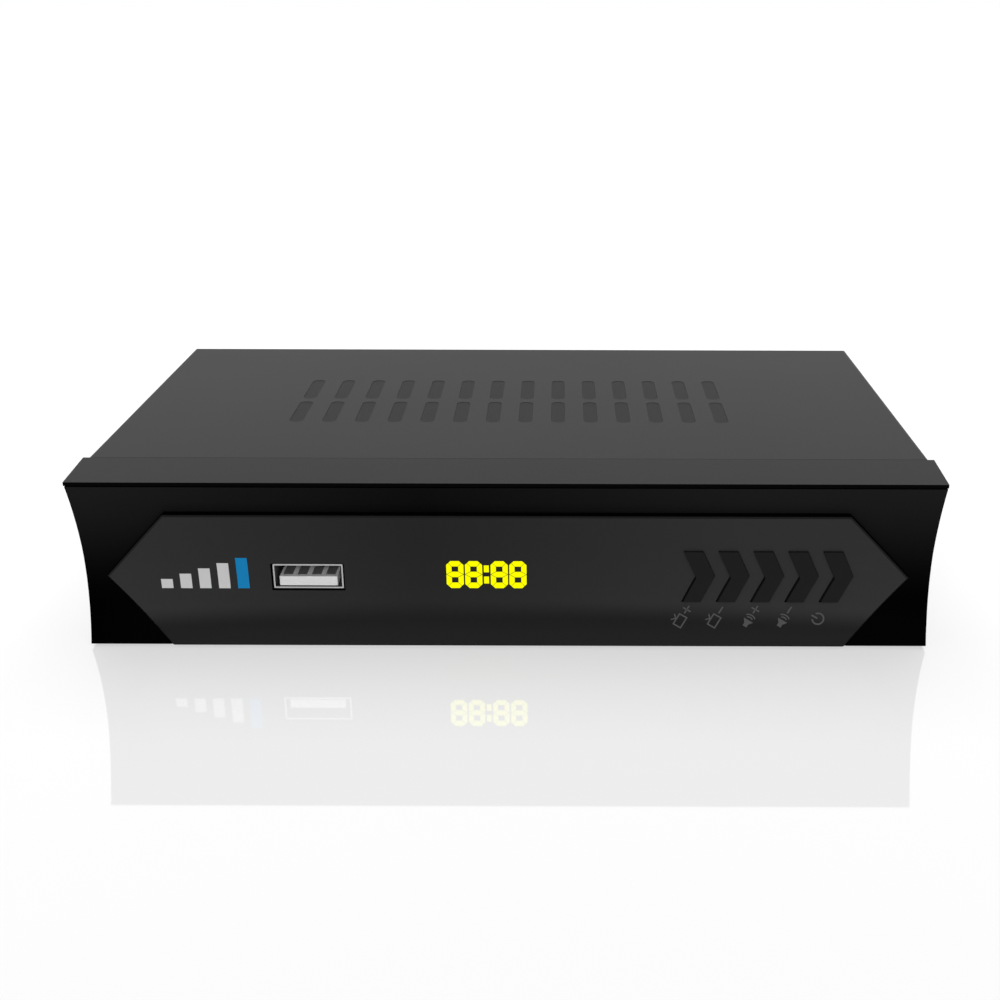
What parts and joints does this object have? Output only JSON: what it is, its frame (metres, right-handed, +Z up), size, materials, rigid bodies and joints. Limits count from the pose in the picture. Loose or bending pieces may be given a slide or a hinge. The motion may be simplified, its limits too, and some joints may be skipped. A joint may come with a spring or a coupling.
{
  "type": "satellite tv receiver",
  "caption": "Low steel-cased satellite television receiver with a hollow-faced front moulding, long hexagonal facia, clock display, front memory socket, chevron push buttons and rear sockets.",
  "frame": {"origin": "on the floor, under the middle of the whole receiver's box", "axes": "+X to the right of someone facing the front, +Y from the front to the back, +Z up"},
  "size_m": [0.1712, 0.1054, 0.0365],
  "materials": {
    "cover_paint": "satin black powder coat",
    "panel_paint": "satin black paint on steel",
    "foot_rubber": "matt",
    "gloss_black": "high gloss moulding",
    "facia_grey": "half gloss",
    "button_black": "fine satin",
    "switch_black": "matt",
    "plunger_white": "satin",
    "display_yellow": "lit light guide, emissive",
    "board_green": "solder mask",
    "bright_steel": "plated sheet",
    "nickel": "nickel plate",
    "tongue_white": "satin",
    "contact_grey": "plated contact",
    "tongue_black": "satin",
    "insert_yellow": "satin",
    "insert_red": "satin",
    "screen_grey": "fine mesh",
    "sink_aluminium": "bare extrusion",
    "can_sleeve": "printed sleeve",
    "coil_dark": "matt ferrite",
    "standoff_steel": "plated",
    "screw_black": "blackened steel"
  },
  "bodies": {
    "receiver": {"aerial_in_barrel": "nickel", "aerial_insulators": "tongue_white", "aerial_nuts": "nickel", "aerial_out_barrel": "nickel", "board_screws": "standoff_steel", "board_standoffs": "standoff_steel", "channel_down_switch": "switch_black", "channel_up_switch": "switch_black", "chassis_tray": "panel_paint", "colon_guide": "display_yellow", "digit_guide_1": "display_yellow", "digit_guide_2": "display_yellow", "digit_guide_3": "display_yellow", "digit_guide_4": "display_yellow", "digital_av_shell": "bright_steel", "digital_av_tongue": "tongue_black", "display_module": "switch_black", "dust_screen": "screen_grey", "facia_plate": "facia_grey", "front_board": "board_green", "front_board_screws": "standoff_steel", "front_moulding": "gloss_black", "heat_sink": "sink_aluminium", "left_sound_insert": "tongue_white", "link_header": "switch_black", "link_socket": "switch_black", "main_board": "board_green", "main_chip": "switch_black", "memory_chips": "switch_black", "phono_block": "switch_black", "phono_sleeves": "nickel", "power_coil": "coil_dark", "power_jack": "switch_black", "power_jack_pin": "nickel", "power_switch": "switch_black", "rear_cover_screws": "screw_black", "remote_receiver": "switch_black", "right_sound_insert": "insert_red", "rubber_feet": "foot_rubber", "side_cover_screws": "screw_black", "smoothing_capacitors": "can_sleeve", "top_cover": "cover_paint", "tuner_can": "bright_steel", "usb_contacts": "contact_grey", "usb_shell": "bright_steel", "usb_tongue": "tongue_white", "video_insert": "insert_yellow", "volume_down_switch": "switch_black", "volume_up_switch": "switch_black"},
    "channel_up_key": {"channel_up_button": "button_black", "channel_up_plunger": "plunger_white"},
    "channel_down_key": {"channel_down_button": "button_black", "channel_down_plunger": "plunger_white"},
    "volume_up_key": {"volume_up_button": "button_black", "volume_up_plunger": "plunger_white"},
    "volume_down_key": {"volume_down_button": "button_black", "volume_down_plunger": "plunger_white"},
    "power_key": {"power_button": "button_black", "power_plunger": "plunger_white"}
  },
  "joints": [
    {"name": "channel_up_press", "type": "slide", "parent": "receiver", "child": "channel_up_key", "axis": [0, 1, 0], "range_m": [0, 0.0005], "stiffness_N_per_m": 1500},
    {"name": "channel_down_press", "type": "slide", "parent": "receiver", "child": "channel_down_key", "axis": [0, 1, 0], "range_m": [0, 0.0005], "stiffness_N_per_m": 1500},
    {"name": "volume_up_press", "type": "slide", "parent": "receiver", "child": "volume_up_key", "axis": [0, 1, 0], "range_m": [0, 0.0005], "stiffness_N_per_m": 1500},
    {"name": "volume_down_press", "type": "slide", "parent": "receiver", "child": "volume_down_key", "axis": [0, 1, 0], "range_m": [0, 0.0005], "stiffness_N_per_m": 1500},
    {"name": "power_press", "type": "slide", "parent": "receiver", "child": "power_key", "axis": [0, 1, 0], "range_m": [0, 0.0005], "stiffness_N_per_m": 1500}
  ]
}
